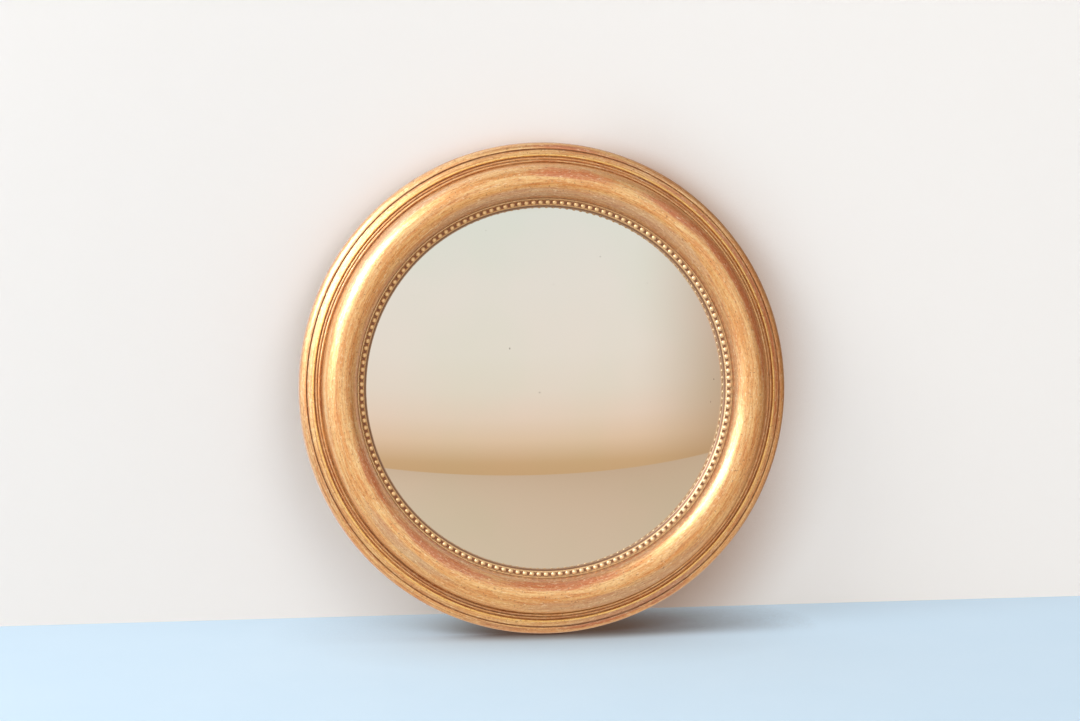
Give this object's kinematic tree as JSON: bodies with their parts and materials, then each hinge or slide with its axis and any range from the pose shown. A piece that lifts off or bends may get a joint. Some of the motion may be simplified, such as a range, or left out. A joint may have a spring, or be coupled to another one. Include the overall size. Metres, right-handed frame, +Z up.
{
  "type": "convex mirror",
  "caption": "Round convex wall mirror in a turned, gilded wooden frame: a broad half-round moulding, fine outer reeds, pearl beading at the sight edge, hanging ring behind.",
  "frame": {"origin": "the point on the wall plane level with where the wall hook bears, at the inner top of the hanging ring, on the mirror's vertical centre line", "axes": "+Z up, +Y into the wall, so the mirror looks along -Y; +X to the right as the front is seen"},
  "size_m": [0.39, 0.0467, 0.3899],
  "materials": {
    "gilded_base": "copper-gold leaf over red bole and gesso, rubbed and washed, satin",
    "gilded_torus": "copper-gold leaf over red bole and gesso, rubbed and washed, burnished",
    "gilded_slip": "gilded, dark brown-red bole showing",
    "gilded_beads": "pressed composition, gilded, dark in the gaps",
    "mirror_glass": "silvered on the back, polished",
    "felt": "dark felt",
    "greyboard": "greyboard",
    "hardboard": "tempered hardboard, smooth side out",
    "bumper_rubber": "matt",
    "plated_steel": "zinc plated",
    "screw_steel": "zinc plated",
    "screw_brass": "brass",
    "button_brass": "brassed plate"
  },
  "bodies": {
    "frame": {"base_segment_1": "gilded_base", "base_segment_2": "gilded_base", "base_segment_3": "gilded_base", "base_segment_4": "gilded_base", "base_segment_5": "gilded_base", "base_segment_6": "gilded_base", "torus_segment_1": "gilded_torus", "torus_segment_2": "gilded_torus", "torus_segment_3": "gilded_torus", "torus_segment_4": "gilded_torus", "torus_segment_5": "gilded_torus", "torus_segment_6": "gilded_torus", "bead_strip_1": "gilded_beads", "bead_strip_2": "gilded_beads", "bead_strip_3": "gilded_beads", "bead_strip_4": "gilded_beads", "bead_strip_5": "gilded_beads", "bead_strip_6": "gilded_beads", "sight_slip": "gilded_slip", "convex_mirror": "mirror_glass", "glass_felt": "felt", "packing_ring": "greyboard", "backboard": "hardboard", "bumper_left": "bumper_rubber", "bumper_right": "bumper_rubber", "hanger_strap": "plated_steel", "hanger_screws": "screw_steel", "button_screws": "screw_brass"},
    "ring": {"hanger_ring": "plated_steel"},
    "button_1": {"turn_button_1": "button_brass"},
    "button_2": {"turn_button_2": "button_brass"},
    "button_3": {"turn_button_3": "button_brass"},
    "button_4": {"turn_button_4": "button_brass"}
  },
  "joints": [
    {"name": "ring_hinge", "type": "hinge", "parent": "frame", "child": "ring", "pos_m": [0, -0.00345, -0.01455], "axis": [-1, 0, 0], "range_deg": [0, 172]},
    {"name": "button_1_turn", "type": "hinge", "parent": "frame", "child": "button_1", "pos_m": [0.11102, -0.006, -0.07853], "axis": [0, 1, 0], "continuous": true},
    {"name": "button_2_turn", "type": "hinge", "parent": "frame", "child": "button_2", "pos_m": [-0.11102, -0.006, -0.07853], "axis": [0, 1, 0], "continuous": true},
    {"name": "button_3_turn", "type": "hinge", "parent": "frame", "child": "button_3", "pos_m": [-0.11102, -0.006, -0.30057], "axis": [0, 1, 0], "continuous": true},
    {"name": "button_4_turn", "type": "hinge", "parent": "frame", "child": "button_4", "pos_m": [0.11102, -0.006, -0.30057], "axis": [0, 1, 0], "continuous": true}
  ]
}
